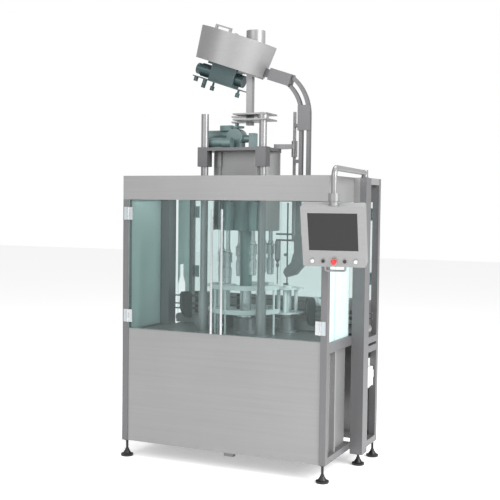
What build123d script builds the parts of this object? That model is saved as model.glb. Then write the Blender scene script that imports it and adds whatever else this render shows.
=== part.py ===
from build123d import *
import math
import os

# A rotary capping machine for bottles, in millimetres.
# Origin: on the floor, under the middle of the whole machine with its operator panel.
# +X runs to the right of someone who stands in front, +Y to the back, +Z up.

# Guard and frame
guard_width = 1720.0
front_bay_depth = 556.0
rear_bay_depth = 256.0
rear_step = 100.0
front_face_y = -267.0
right_face_x = 682.0
post = 50.0
post_wall = 3.0
cross_rail = 28.0
sill = 20.0
roof_rail_y = 480.0
column_width = 100.0
column_depth = 120.0
column_wall = 5.0
frame_bottom = 130.0
column_bottom = 92.0
deck_top = 1000.0
deck_thickness = 10.0
fascia_bottom = 2044.0
fascia_height = 186.0
sheet = 3.0
panel_lip = 28.0
panel_recess = 7.0
door_gap = 4.0
glass = 8.0
bay_rail_bottom = 870.0
side_glass_split = 205.0
drain_width = 80.0

# Levelling feet
foot_disc = 98.0
foot_disc_height = 22.0
foot_cone_height = 36.0
foot_stem = 20.0
foot_ring = 44.0
foot_ring_height = 6.0
foot_inset = 30.0

# Doors and hinges
door_meet_from_right = 878.0
handle_diameter = 19.0
handle_offset = 42.0
handle_reach = 30.0
handle_bottom = 1035.0
handle_top = 1975.0
handle_end = 70.0
hinge_height = 100.0
hinge_leaf_width = 32.0
hinge_leaf = 6.0
hinge_barrel = 12.0
hinge_pin = 6.0
running_gap = 0.05
end_gap = 0.3
front_hinge_heights = (1128.0, 1935.0)
rear_hinge_heights = (1431.0, 1947.0)
rear_rail_bottom = 1220.0
rear_rail_height = 40.0
knob_diameter = 26.0
knob_height = 1600.0

# Bottles and star wheels
bottle_diameter = 75.0
pocket_clearance = 1.5
turret_pockets = 6
star_pockets = 4
pocket_pitch = 209.4
turret_from_right = 860.0
turret_from_front = 460.0
star_offset_y = 150.0
first_head_angle = -110.0
star_plate = 12.0
star_low = 1150.0
star_high = 1345.0
rim_clearance = 2.0
turret_shaft = 50.0
spline_diameter = 90.0
spline_depth = 4.0
spline_count = 12
star_shaft = 40.0
star_hub = 70.0
shaft_bottom = 760.0
star_post = 30.0
star_post_radius = 72.0
star_cap_height = 14.0

# Guide arcs round the turret
guide_outer_radius = 290.0
guide_thickness = 34.0
guide_low = 1163.0
guide_high = 1352.0
guide_cut_angle = 27.0
guide_post = 18.0
guide_post_angles = (-165, -125, -100, -46, -12)
guide_post_radius = 275.0
centre_guide_post = 70.0

# Bearings on the deck and the drive under it
turret_bearing = 190.0
star_bearing = 110.0
bearing_top = 1118.0
bearing_flange = 14.0
gear_thickness = 30.0
gear_bottom = 800.0
gear_gap = 1.0
motor_diameter = 150.0

# Lift columns
column_spacing = 494.0
column_from_front = 205.0
lift_column = 58.0
lift_column_top = 2695.0
column_cap = 18.0
column_tube = 77.0
column_tube_top = 1323.0
column_flange = 128.0
column_flange_height = 14.0

# Head plate and housing, which slide on the columns
head_plate_bottom = 2427.0
head_plate_thickness = 24.0
sleeve_width = 84.0
sleeve_bottom = 2305.0
plate_margin = 6.0
housing_radius = 264.0
housing_wall = 4.0
housing_panels = 8
housing_bottom = 1811.0
housing_front = 160.0
housing_front_bottom = 2214.0
strip_spacing = 314.0
strip_width = 18.0
strip_block_width = 30.0
slide_gap = 0.08

# Capping rotor and its heads
rotor_apothem = 158.0
rotor_wall = 6.0
rotor_height = 369.0
rotor_sleeve = 96.0
sleeve_flange = 130.0
sleeve_flange_height = 14.0
rotor_hub = 120.0
hub_boss_height = 40.0
head_cylinder = 71.0
head_cylinder_height = 219.0
spindle = 32.0
spindle_grip = 120.0
clutch_top = 1640.0
clutch_diameter = 72.0
head_bottom = 1395.0
chuck_diameter = 56.0
clutch_groove = 5.0
clutch_rings = 8
cam_rises = (0.0, 70.0, 70.0, 70.0, 35.0, 0.0)

# Cap sorter
sorter_diameter = 606.0
sorter_base_diameter = 562.0
sorter_height = 244.0
sorter_tilt = 18.5
sorter_x = -244.0
sorter_y = 83.0
sorter_centre_z = 3201.0
sorter_wall = 4.0
sorter_floor = 10.0
sorter_disc = 530.0
disc_thickness = 12.0
sorter_shaft = 28.0
lid = 5.0
lid_hinge_x = 40.0
lid_knuckle = 12.0
lid_knuckle_length = 20.0
lid_knuckle_place = 130.0
chimney_x = 146.0
chimney_diameter = 147.0
chimney_wall = 3.0
chimney_top = 3355.0
support_width = 48.0
support_x = -107.0
support_y = 83.0
support_bottom = 2630.0
yoke_top = 2709.0
yoke_height = 54.0
yoke_plate = 12.0
drive_plate_bottom = -268.0
sorter_motor = 104.0
knob_size = 34.0
drive_knobs = ((-232, -60, 0), (-150, -60, 0), (-194, 20, 34), (-112, 20, 34), (158, -60, 22))

# Cap chute
chute_x = 335.0
chute_y = 133.0
chute_rail = 26.0
chute_spacing = 62.0
chute_depth = 40.0
chute_bend = 390.0
chute_angle = 54.0
chute_straight_top = 2700.0
chute_joint_z = 2086.0
wide_chute_top = 1784.0
wide_chute_bottom = 1640.0
outlet_start = 330.0
outlet_end = 514.0
outlet_low = -122.0
outlet_high = -28.0
outlet_width = 90.0
neck_inset = 14.0
plate_bottom = 2584.0
plate_top = 2777.0
clamp_z = 2340.0
feeler_x = 95.0
feeler_bottom = 1590.0
feeler_length = 143.0
feeler_diameter = 44.0
feeler_rod_length = 198.0
bar_thickness = 14.0
bar_length = 130.0
bar_spacing = 47.0
air_rod_x = 177.0
air_rod_top = 2031.0
air_rod_bottom = 1400.0
stay_x = 225.0
stay_diameter = 25.0
stay_bottom = 1730.0
stay_top = 2735.0

# Conveyor
conveyor_y = 476.0
chain_width = 82.0
chain_top = 1085.0
chain_thickness = 6.0
conveyor_out_left = 12.0
conveyor_in_right = 10.0
roller_diameter = 60.0
roller_shaft = 20.0
side_plate = 6.0
side_plate_gap = 4.0
conveyor_leg = 40.0
rail_rod = 12.0
rail_heights = (1127.0, 1168.0, 1236.0)
screw_diameter = 84.0
screw_z = 1232.0
screw_y = 540.0
screw_left = 236.0
screw_length = 330.0
screw_shaft = 24.0
bracket_thickness = 20.0
bracket_places = (-798.0, 322.0, 594.0)
back_clamp_places = (-798.0, -400.0, 60.0, 400.0)
leg_places = (-718.0, -178.0, 532.0)
opening_width = 130.0
opening_top = 1500.0
opening_shoulder = 1330.0
opening_neck = 60.0

# Operator panel and its arm
panel_width = 436.0
panel_height = 434.0
panel_depth = 95.0
panel_turn = 8.7
panel_lean = -17.7
panel_x = 822.0
panel_y = -567.0
panel_z = 1798.5
screen_width = 342.0
screen_height = 268.0
screen_up = 35.0
screen_recess = 6.0
arm_tube = 40.0
arm_rise = 38.0
arm_bend = 60.0
arm_post_x = 753.0
arm_post_y = 333.0
arm_end_x = 832.0
arm_end_y = -587.0
coupling_diameter = 78.0
coupling_top = 2094.0
coupling_bottom = 2040.0
button_pitch = 75.0
button_row = -174.0
button_diameter = 24.0
button_height = 7.0
button_travel = 4.0
button_collar = 32.0
collar_height = 6.0
stop_diameter = 40.0
stop_height = 15.0

# Places worked out from the sizes above
left_face_x = right_face_x - guard_width
rear_left_x = left_face_x + rear_step
rear_right_x = right_face_x + rear_step
portal_y = front_face_y + front_bay_depth
portal_back_y = portal_y + column_depth
back_y = portal_back_y + rear_bay_depth
frame_top = fascia_bottom + fascia_height
deck_bottom = deck_top - deck_thickness
panel_top = deck_top + panel_lip
arm_height = frame_top + arm_rise
conveyor_left = rear_left_x - conveyor_out_left
conveyor_right = rear_right_x - conveyor_in_right
rotor_top = housing_bottom + rotor_height
head_cylinder_top = housing_bottom + head_cylinder_height
feeler_top = feeler_bottom + feeler_length
door_meet_x = right_face_x - door_meet_from_right
turret_x = right_face_x - turret_from_right
turret_y = front_face_y + turret_from_front
turret_radius = turret_pockets * pocket_pitch / (2 * math.pi)
star_radius = star_pockets * pocket_pitch / (2 * math.pi)
star_distance = turret_radius + star_radius
star_offset_x = math.sqrt(star_distance**2 - star_offset_y**2)
transfer_angle = math.degrees(math.atan2(star_offset_y, star_offset_x))
infeed_x = turret_x + star_offset_x
outfeed_x = turret_x - star_offset_x
star_y = turret_y + star_offset_y
pocket_radius = bottle_diameter / 2 + pocket_clearance
column_y = front_face_y + column_from_front
column_xs = (turret_x - column_spacing / 2, turret_x + column_spacing / 2)
head_plate_top = head_plate_bottom + head_plate_thickness
drive_ratio = turret_pockets / star_pockets
chain_loop_radius = roller_diameter / 2 + end_gap
roller_z = chain_top - chain_thickness - chain_loop_radius
conveyor_bottom = roller_z - chain_loop_radius - chain_thickness
roller_x = conveyor_right - chain_loop_radius - chain_thickness
idler_x = conveyor_left + chain_loop_radius + chain_thickness
sorter_plane = Plane(
    origin=(sorter_x, sorter_y, sorter_centre_z),
    x_dir=(math.cos(math.radians(sorter_tilt)), 0, -math.sin(math.radians(sorter_tilt))),
    z_dir=(math.sin(math.radians(sorter_tilt)), 0, math.cos(math.radians(sorter_tilt))),
)
panel_plane = Plane(
    origin=(panel_x, panel_y, panel_z),
    x_dir=(math.cos(math.radians(panel_turn)), math.sin(math.radians(panel_turn)), 0),
    z_dir=(
        math.sin(math.radians(panel_turn)) * math.cos(math.radians(panel_lean)),
        -math.cos(math.radians(panel_turn)) * math.cos(math.radians(panel_lean)),
        math.sin(math.radians(panel_lean)),
    ),
)


def block(x0, x1, y0, y1, z0, z1):
    return Pos((x0 + x1) / 2, (y0 + y1) / 2, (z0 + z1) / 2) * Box(x1 - x0, y1 - y0, z1 - z0)


def pillar(x, y, z0, z1, diameter):
    return Pos(x, y, (z0 + z1) / 2) * Cylinder(diameter / 2, z1 - z0)


def ring(x, y, z0, z1, outer, bore):
    return pillar(x, y, z0, z1, outer) - pillar(x, y, z0 - 1, z1 + 1, bore)


def rod_along_x(x0, x1, y, z, diameter):
    return Pos((x0 + x1) / 2, y, z) * Rot(0, 90, 0) * Cylinder(diameter / 2, x1 - x0)


def rod_along_y(x, y0, y1, z, diameter):
    return Pos(x, (y0 + y1) / 2, z) * Rot(90, 0, 0) * Cylinder(diameter / 2, y1 - y0)


def polar(x, y, radius, angle):
    a = math.radians(angle)
    return x + radius * math.cos(a), y + radius * math.sin(a)


def hollow_post(x0, x1, y0, y1, z0, z1, wall):
    """A square tube that stands on end, with a plate across its foot."""
    inner = block(x0 + wall, x1 - wall, y0 + wall, y1 - wall, z0 + wall, z1 + 1)
    return block(x0, x1, y0, y1, z0, z1) - inner


def rail_x(x0, x1, y0, z0, depth=post, height=post):
    """A square tube that runs left to right."""
    inner = block(x0 - 1, x1 + 1, y0 + post_wall, y0 + depth - post_wall,
                  z0 + post_wall, z0 + height - post_wall)
    return block(x0, x1, y0, y0 + depth, z0, z0 + height) - inner


def rail_y(x0, y0, y1, z0, width=post, height=post):
    """A square tube that runs front to back."""
    inner = block(x0 + post_wall, x0 + width - post_wall, y0 - 1, y1 + 1,
                  z0 + post_wall, z0 + height - post_wall)
    return block(x0, x0 + width, y0, y1, z0, z0 + height) - inner


def save(name, shapes):
    """Write one sub-part, whose shapes are separate solids."""
    solids = []
    for shape in shapes:
        solids.extend(shape.solids())
    export_step(Compound(children=solids), os.path.join("parts", name + ".step"))


# Frame

def base_frame():
    """The welded rails at the foot and under the deck."""
    rails = []
    recess = panel_recess + sheet
    for level in (frame_bottom, deck_bottom - post):
        rails.append(rail_x(left_face_x + post, right_face_x - post,
                            front_face_y + recess, level, depth=post - recess))
        rails.append(rail_y(left_face_x, front_face_y + post, portal_y, level))
        rails.append(rail_y(right_face_x - post, front_face_y + post, portal_y, level))
        rails.append(rail_x(rear_left_x, right_face_x, portal_y, level, depth=cross_rail))
        rails.append(rail_y(rear_left_x, portal_y + cross_rail, back_y - post, level))
        rails.append(rail_y(rear_right_x - post, portal_back_y, back_y - post, level))
        rails.append(rail_x(rear_left_x + post, rear_right_x - post, back_y - post, level))
    rails.append(rail_y(rear_right_x - post, portal_back_y, back_y - post, bay_rail_bottom))
    for x in (left_face_x, right_face_x - post):
        rails.append(block(x, x + post, front_face_y + post, portal_y, deck_bottom,
                           deck_bottom + sill))
    middle = (left_face_x + right_face_x) / 2 + drain_width / 2
    rails.append(block(middle, middle + drain_width, front_face_y + recess,
                       front_face_y + post, frame_bottom - 25, frame_bottom))
    return rails


def guard_posts():
    """The four square corner posts."""
    front_top = fascia_bottom
    posts = []
    for x in (left_face_x, right_face_x - post):
        posts.append(hollow_post(x, x + post, front_face_y, front_face_y + post,
                                 frame_bottom, front_top, post_wall))
    for x in (rear_left_x, rear_right_x - post):
        posts.append(hollow_post(x, x + post, back_y - post, back_y, frame_bottom, frame_top,
                                 post_wall))
    return posts


def portal_columns():
    """The two deep columns between the front and the rear bay, and the socket of the arm."""
    columns = []
    for x in (left_face_x, right_face_x):
        outer = block(x, x + column_width, portal_y, portal_back_y, column_bottom, frame_top)
        inner = block(x + column_wall, x + column_width - column_wall, portal_y + column_wall,
                      portal_back_y - column_wall, column_bottom + column_wall,
                      frame_top - column_wall)
        columns.append(outer - inner)
    socket_top = arm_height - arm_tube / 2
    socket = pillar(arm_post_x, arm_post_y, frame_top, socket_top - 10, 56)
    socket -= pillar(arm_post_x, arm_post_y, frame_top + 2, socket_top, 24 + 2 * slide_gap)
    columns.append(socket)
    return columns


def top_fascia():
    """The folded band round the top of the front bay and the rails of the rear bay."""
    front = block(left_face_x, right_face_x, front_face_y, front_face_y + post,
                  fascia_bottom, frame_top)
    front -= block(left_face_x + sheet, right_face_x - sheet, front_face_y + sheet,
                   front_face_y + post + 1, fascia_bottom + sheet, frame_top - sheet)
    left = block(left_face_x, left_face_x + post, front_face_y + post, portal_y,
                 fascia_bottom, frame_top)
    left -= block(left_face_x + sheet, left_face_x + post + 1, front_face_y + post - 1,
                  portal_y + 1, fascia_bottom + sheet, frame_top - sheet)
    right = block(right_face_x - post, right_face_x, front_face_y + post, portal_y,
                  fascia_bottom, frame_top)
    right -= block(right_face_x - post - 1, right_face_x - sheet, front_face_y + post - 1,
                   portal_y + 1, fascia_bottom + sheet, frame_top - sheet)
    cover = block(right_face_x, right_face_x + column_width / 2, portal_y - sheet, portal_y,
                  fascia_bottom, frame_top)
    cross_level = frame_top - post
    cross = rail_x(rear_left_x + post, rear_right_x - post, roof_rail_y, cross_level)
    rear_left = rail_y(rear_left_x, portal_back_y, back_y - post, cross_level)
    rear_right = rail_y(rear_right_x - post, portal_back_y, back_y - post, cross_level)
    rear = block(rear_left_x + post, rear_right_x - post, back_y - post, back_y,
                 fascia_bottom, frame_top)
    rear -= block(rear_left_x + post - 1, rear_right_x - post + 1, back_y - post - 1,
                  back_y - sheet, fascia_bottom + sheet, frame_top - sheet)
    return [front, left, right, cover, cross, rear_left, rear_right, rear]


def foot_places():
    """Each foot's place and the height at which its stem enters the frame."""
    low = front_face_y + foot_inset
    high = back_y - post / 2
    middle = portal_y + column_depth / 2
    return [
        (left_face_x + foot_inset, low, frame_bottom),
        (right_face_x - foot_inset, low, frame_bottom),
        (left_face_x + column_width / 2, middle, column_bottom),
        (right_face_x + column_width / 2, middle, column_bottom),
        (rear_left_x + post / 2, high, frame_bottom),
        (rear_right_x - post / 2, high, frame_bottom),
    ]


def levelling_feet():
    """Discs with a cone, a stem and a lock ring under each post."""
    feet = []
    for x, y, top in foot_places():
        cone_top = foot_disc_height + foot_cone_height
        profile = Polyline(
            (0, 0), (foot_disc / 2 - 2, 0), (foot_disc / 2, 2),
            (foot_disc / 2, foot_disc_height - 6), (foot_disc / 2 - 16, foot_disc_height),
            (foot_stem / 2 + 5, cone_top - 8), (foot_stem / 2 + 5, cone_top),
            (foot_stem / 2, cone_top), (foot_stem / 2, top - foot_ring_height),
            (foot_ring / 2, top - foot_ring_height), (foot_ring / 2, top), (0, top), (0, 0))
        foot = revolve(Plane.XZ * make_face(profile), Axis.Z)
        feet.append(Pos(x, y, 0) * foot)
    return feet


# Panels, deck and glass

def front_panel():
    """The folded sheet in front, with a lip that stands above the deck."""
    y0 = front_face_y + panel_recess
    face = block(left_face_x + post, right_face_x - post, y0, y0 + sheet,
                 frame_bottom, panel_top)
    lip = block(left_face_x + post, right_face_x - post, y0 + sheet, front_face_y + post,
                panel_top - sheet, panel_top)
    turn = block(left_face_x + post, right_face_x - post, front_face_y + post - sheet,
                 front_face_y + post, deck_top, panel_top - sheet)
    return [face + lip + turn]


def side_panels():
    """The lower sheets at both sides of the front bay, the right one in two pieces."""
    top = deck_bottom
    y0 = front_face_y + post
    split = front_face_y + side_glass_split + post / 2
    outer = right_face_x - post - sheet
    inner_left = left_face_x + post
    right_front = block(outer, outer + sheet, y0, split, frame_bottom, top)
    right_back = block(outer, outer + sheet, split + 1, portal_y, frame_bottom, top)
    left = block(inner_left, inner_left + sheet, y0, portal_y, frame_bottom, top)
    stile = block(right_face_x - post, right_face_x - 12, split - 12, split + 12,
                  frame_bottom + post, deck_bottom - post)
    return [right_front, right_back, left, stile]


def rear_panels():
    """The sheets of the rear bay: its left side, its back and the low wall above the deck."""
    low = frame_bottom + post
    high = deck_bottom - post
    left = block(rear_left_x, rear_left_x + sheet, portal_back_y, back_y - post, low, high)
    back = block(rear_left_x + post, rear_right_x - post, back_y - sheet, back_y, low, high)
    wall = block(rear_left_x + post, rear_right_x - post, back_y - post, back_y - post + sheet,
                 deck_bottom, rear_rail_bottom)
    rail = rail_x(rear_left_x + post, rear_right_x - post, back_y - post, rear_rail_bottom,
                  height=rear_rail_height)
    return [left, back, wall, rail]


def deck_plate():
    """The plate that carries the star wheels, with holes for their shafts."""
    front = block(left_face_x + post, right_face_x - post, front_face_y + panel_recess + sheet,
                  portal_y, deck_bottom, deck_top)
    middle = block(rear_left_x, right_face_x, portal_y, portal_back_y, deck_bottom, deck_top)
    rear = block(rear_left_x + post, rear_right_x - post, portal_back_y, back_y - post,
                 deck_bottom, deck_top)
    deck = front + middle + rear
    deck -= pillar(turret_x, turret_y, deck_bottom - 1, deck_top + 1,
                   turret_shaft + 20)
    for x in (infeed_x, outfeed_x):
        deck -= pillar(x, star_y, deck_bottom - 1, deck_top + 1, star_shaft + 20)
    return [deck]


def bottle_opening(x0, x1):
    """The bottle-shaped hole through which the conveyor leaves the guard."""
    half = opening_width / 2
    neck = opening_neck / 2
    low = deck_top + 5
    outline = Polyline(
        (conveyor_y - half, low), (conveyor_y + half, low),
        (conveyor_y + half, opening_shoulder), (conveyor_y + neck, opening_shoulder + 70),
        (conveyor_y + neck, opening_top), (conveyor_y - neck, opening_top),
        (conveyor_y - neck, opening_shoulder + 70), (conveyor_y - half, opening_shoulder),
        (conveyor_y - half, low))
    face = Plane.YZ * make_face(outline)
    return Pos(x0, 0, 0) * extrude(face, amount=x1 - x0)


def side_glass():
    """The panes at both sides of the guard."""
    y0 = front_face_y + post
    left_x = left_face_x + (post - glass) / 2
    right_x = right_face_x - (post + glass) / 2
    split = front_face_y + side_glass_split + post / 2
    low = deck_bottom + sill
    left = block(left_x, left_x + glass, y0, portal_y, low, fascia_bottom)
    right_front = block(right_x, right_x + glass, y0, split, low, fascia_bottom)
    right_back = block(right_x, right_x + glass, split + 2, portal_y, low, fascia_bottom)
    rear_x = rear_left_x + (post - glass) / 2
    rear = block(rear_x, rear_x + glass, portal_back_y, back_y - post, deck_bottom,
                 frame_top - post)
    rear -= bottle_opening(rear_x - 1, rear_x + glass + 1)
    return [left, right_front, right_back, rear]


# Doors

def hinge(x, y, z, side, depth):
    """A two-leaf hinge: the fixed half with its pin, then the moving half.

    side is +1 when the moving leaf lies to the right of the pin, depth is the sign of y
    towards the door's outer side."""
    half = hinge_height / 2
    third = hinge_height / 6
    barrel_y = y + depth * (hinge_leaf + 2)
    leaf_ys = sorted((y, y + depth * hinge_leaf))
    reach = hinge_barrel / 2 + 1
    fixed_xs = sorted((x - side * reach, x - side * (reach + hinge_leaf_width)))
    moving_xs = sorted((x + side * reach, x + side * (reach + hinge_leaf_width)))
    fixed_bridge = sorted((x - side * reach, x))
    moving_bridge = sorted((x + side * reach, x))
    fixed = block(*fixed_xs, *leaf_ys, z - half, z + half)
    knuckle = pillar(x, barrel_y, z - third, z + third, hinge_barrel)
    bridge_ys = sorted((y + depth * 2, y + depth * hinge_leaf))
    fixed += knuckle + block(*fixed_bridge, *bridge_ys, z - third, z + third)
    fixed += pillar(x, barrel_y, z - half, z + half, hinge_pin)
    moving = block(*moving_xs, *leaf_ys, z - half, z + half)
    for low, high in ((z - half, z - third - end_gap), (z + third + end_gap, z + half)):
        moving += pillar(x, barrel_y, low, high, hinge_barrel)
        moving += block(*moving_bridge, *bridge_ys, low, high)
    moving -= pillar(x, barrel_y, z - half - 1, z + half + 1, hinge_pin + 2 * running_gap)
    return fixed, moving


def door_hinges():
    """For each door: its fixed halves and its moving halves."""
    found = {}
    front = (("front_left", left_face_x + post, 1), ("front_right", right_face_x - post, -1))
    for name, x, side in front:
        found[name] = [hinge(x, front_face_y, z, side, -1) for z in front_hinge_heights]
    rear = (("rear_left", rear_left_x + post, 1), ("rear_right", rear_right_x - post, -1))
    for name, x, side in rear:
        found[name] = [hinge(x, back_y, z, side, 1) for z in rear_hinge_heights]
    return found


def front_door(side):
    """One glass leaf of the front door, -1 the left one and +1 the right one."""
    low = panel_top + door_gap
    high = fascia_bottom - door_gap
    if side < 0:
        x0, x1 = left_face_x + post + 2, door_meet_x - 1
    else:
        x0, x1 = door_meet_x + 1, right_face_x - post - 2
    return [block(x0, x1, front_face_y, front_face_y + glass, low, high)]


def front_handle(side):
    """The tall tubular pull of a front door and its two stand-offs."""
    x = door_meet_x + side * handle_offset
    y = front_face_y - handle_reach
    bar = pillar(x, y, handle_bottom, handle_top, handle_diameter)
    for z in (handle_bottom + handle_end, handle_top - handle_end):
        bar += rod_along_y(x, y, front_face_y, z, handle_diameter * 0.7)
    return bar


def rear_door(side):
    """One glass leaf at the back, -1 the left one and +1 the right one."""
    low = rear_rail_bottom + rear_rail_height + door_gap
    high = fascia_bottom - door_gap
    middle = (rear_left_x + rear_right_x) / 2
    if side < 0:
        x0, x1 = rear_left_x + post + 2, middle - 1
    else:
        x0, x1 = middle + 1, rear_right_x - post - 2
    return [block(x0, x1, back_y - glass, back_y, low, high)]


def rear_knob(side):
    """The knob of a rear door."""
    x = (rear_left_x + rear_right_x) / 2 + side * handle_offset
    return rod_along_y(x, back_y, back_y + handle_reach, knob_height, knob_diameter)


# Lift columns and what stands on the deck

def guide_columns():
    """The two front columns with their base tubes, flanges and end caps."""
    pieces = []
    for x in column_xs:
        flange_top = deck_top + column_flange_height
        pieces.append(pillar(x, column_y, deck_top, flange_top, column_flange)
                      + pillar(x, column_y, flange_top, column_tube_top, column_tube))
        pieces.append(pillar(x, column_y, column_tube_top, lift_column_top, lift_column))
        pieces.append(pillar(x, column_y, lift_column_top, lift_column_top + column_cap,
                             lift_column))
    return pieces


def shaft_bearing(x, y, outer, bore):
    """A flanged bearing housing on the deck."""
    flange_top = deck_top + bearing_flange
    housing = pillar(x, y, deck_top, flange_top, outer + 50)
    housing += pillar(x, y, flange_top, bearing_top, outer)
    return housing - pillar(x, y, deck_top - 1, bearing_top + 1, bore + 2 * slide_gap)


def shaft_bearings():
    """The housings in which the turret and both small stars turn."""
    return [
        shaft_bearing(turret_x, turret_y, turret_bearing, turret_shaft),
        shaft_bearing(infeed_x, star_y, star_bearing, star_shaft),
        shaft_bearing(outfeed_x, star_y, star_bearing, star_shaft),
    ]


def base_drive():
    """The gearmotor that turns the turret, hung under the deck with its bracket."""
    gear_top = gear_bottom + gear_thickness
    x = turret_x - turret_radius - motor_diameter
    y = turret_y - 60
    bracket = block(x - 110, x + 110, y - 90, y + 90, deck_bottom - 12, deck_bottom)
    bracket += block(x - 110, x - 95, y - 90, y + 90, gear_top + 20, deck_bottom - 12)
    bracket += block(x - 110, x + 60, y - 90, y + 90, gear_top + 8, gear_top + 20)
    gearbox = block(x - 90, x + 60, y - 70, y + 70, gear_bottom - 110, gear_top + 8)
    motor = pillar(x - 15, y, gear_bottom - 370, gear_bottom - 110, motor_diameter)
    fan = pillar(x - 15, y, gear_bottom - 400, gear_bottom - 370, motor_diameter - 14)
    return [bracket, gearbox, motor + fan]


def air_unit():
    """The air preparation set in the open right bay, on a plate."""
    x1 = rear_right_x - post
    plate = block(x1 - 10, x1, portal_back_y, back_y - post, 560, 800)
    pieces = [plate]
    for number in range(3):
        y = portal_back_y + 56 + number * 56
        bowl = pillar(x1 + 18, y, 590, 650, 40)
        body = block(x1, x1 + 36, y - 26, y + 26, 650, 710)
        knob = pillar(x1 + 18, y, 710, 740, 34)
        pieces.append(bowl + body + knob)
    return pieces


# Star wheels, turret and guides

def pocket_wheel(x, y, pitch_radius, count, phase, z0, z1):
    """A star wheel plate with round pockets on its rim."""
    plate = pillar(x, y, z0, z1, 2 * (pitch_radius - rim_clearance))
    for number in range(count):
        px, py = polar(x, y, pitch_radius, phase + number * 360 / count)
        plate -= pillar(px, py, z0 - 1, z1 + 1, 2 * pocket_radius)
    return plate


def turret_phase():
    return first_head_angle


def infeed_phase():
    """The infeed star's angle that brings its pocket to the turret's at their meeting line."""
    steps = 360 / turret_pockets
    lead = (turret_phase() - transfer_angle) % steps
    return (180 + transfer_angle - drive_ratio * lead) % (360 / star_pockets)


def outfeed_phase():
    steps = 360 / turret_pockets
    lead = (turret_phase() - (180 - transfer_angle)) % steps
    return (-transfer_angle - drive_ratio * lead) % (360 / star_pockets)


def gear(x, y, pitch_radius, bore):
    """A gear under the deck, cut back by the working gap."""
    z0, z1 = gear_bottom, gear_bottom + gear_thickness
    wheel = pillar(x, y, z0, z1, 2 * (pitch_radius - gear_gap))
    wheel -= pillar(x, y, z0 + 10, z1 + 1, 2 * (pitch_radius - 24))
    return wheel + pillar(x, y, z0, z1 + 6, bore + 40)


def turret_stars():
    """Both star plates of the turret."""
    plates = []
    for z0 in (star_low, star_high):
        plate = pocket_wheel(turret_x, turret_y, turret_radius, turret_pockets,
                             turret_phase(), z0, z0 + star_plate)
        plates.append(plate - pillar(turret_x, turret_y, z0 - 1, z0 + star_plate + 1,
                                     turret_shaft))
    return plates


def turret_column():
    """The turret's shaft, its splined drum between the star plates and its gear."""
    top = rotor_top - 120
    shaft = pillar(turret_x, turret_y, shaft_bottom, top, turret_shaft)
    drum = pillar(turret_x, turret_y, star_low + star_plate, star_high,
                  spline_diameter - 2 * spline_depth)
    for number in range(spline_count):
        px, py = polar(turret_x, turret_y, spline_diameter / 2 - spline_depth,
                       number * 360 / spline_count)
        rib = Box(2 * spline_depth, 9, star_high - star_low - star_plate)
        height = (star_low + star_plate + star_high) / 2
        drum += Pos(px, py, height) * Rot(0, 0, number * 360 / spline_count) * rib
    foot = pillar(turret_x, turret_y, bearing_top + end_gap, star_low, turret_bearing - 50)
    return [shaft + drum + foot + gear(turret_x, turret_y, turret_radius, turret_shaft)]


def small_star(x, phase):
    """A small star: two plates, four spacers, a hub, its shaft and its gear."""
    star = pocket_wheel(x, star_y, star_radius, star_pockets, phase, star_low,
                        star_low + star_plate)
    star += pocket_wheel(x, star_y, star_radius, star_pockets, phase, star_high,
                         star_high + star_plate)
    for number in range(star_pockets):
        px, py = polar(x, star_y, star_post_radius,
                       phase + (number + 0.5) * 360 / star_pockets)
        star += pillar(px, py, star_low + star_plate, star_high, star_post)
    star += pillar(x, star_y, bearing_top + end_gap, star_low, star_hub)
    star += pillar(x, star_y, star_high + star_plate, star_high + star_plate + star_cap_height,
                   star_hub)
    star += pillar(x, star_y, shaft_bottom, star_high, star_shaft)
    return [star + gear(x, star_y, star_radius, star_shaft)]


def arc_plate(x, y, inner, outer, start, end, z0, z1):
    """A flat ring segment between two angles."""
    ax, ay = polar(x, y, inner, start)
    bx, by = polar(x, y, outer, start)
    cx, cy = polar(x, y, outer, end)
    dx, dy = polar(x, y, inner, end)
    mo = polar(x, y, outer, (start + end) / 2)
    mi = polar(x, y, inner, (start + end) / 2)
    outline = [
        Line((ax, ay), (bx, by)),
        ThreePointArc((bx, by), mo, (cx, cy)),
        Line((cx, cy), (dx, dy)),
        ThreePointArc((dx, dy), mi, (ax, ay)),
    ]
    return Pos(0, 0, z0) * extrude(make_face(outline), amount=z1 - z0)


def star_guides():
    """The white guides: the front arc on two levels, its posts and the centre guide."""
    inner = turret_radius + pocket_radius + 0.5
    first = transfer_angle - guide_cut_angle
    last = -180 - first
    pieces = []
    for z0 in (guide_low, guide_high):
        pieces.append(arc_plate(turret_x, turret_y, inner, guide_outer_radius, last, first,
                                z0, z0 + guide_thickness))
    for angle in guide_post_angles:
        px, py = polar(turret_x, turret_y, guide_post_radius, angle)
        pieces.append(pillar(px, py, deck_top, guide_low, guide_post))
        pieces.append(pillar(px, py, guide_low + guide_thickness, guide_high, guide_post))
    reach = star_radius + pocket_radius + 0.5
    back = conveyor_y - pocket_radius - rail_rod
    for z0 in (guide_low, guide_high):
        body = block(outfeed_x, infeed_x, star_y - 40, back, z0, z0 + guide_thickness)
        body -= pillar(infeed_x, star_y, z0 - 1, z0 + guide_thickness + 1, 2 * reach)
        body -= pillar(outfeed_x, star_y, z0 - 1, z0 + guide_thickness + 1, 2 * reach)
        body -= pillar(turret_x, turret_y, z0 - 1, z0 + guide_thickness + 1,
                       2 * (turret_radius + 8))
        largest = max(body.solids(), key=lambda solid: solid.volume)
        pieces.append(largest)
    for x in (turret_x - centre_guide_post, turret_x + centre_guide_post):
        pieces.append(pillar(x, back - 18, deck_top, guide_low, guide_post))
        pieces.append(pillar(x, back - 18, guide_low + guide_thickness, guide_high, guide_post))
    return pieces


# Conveyor

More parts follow.
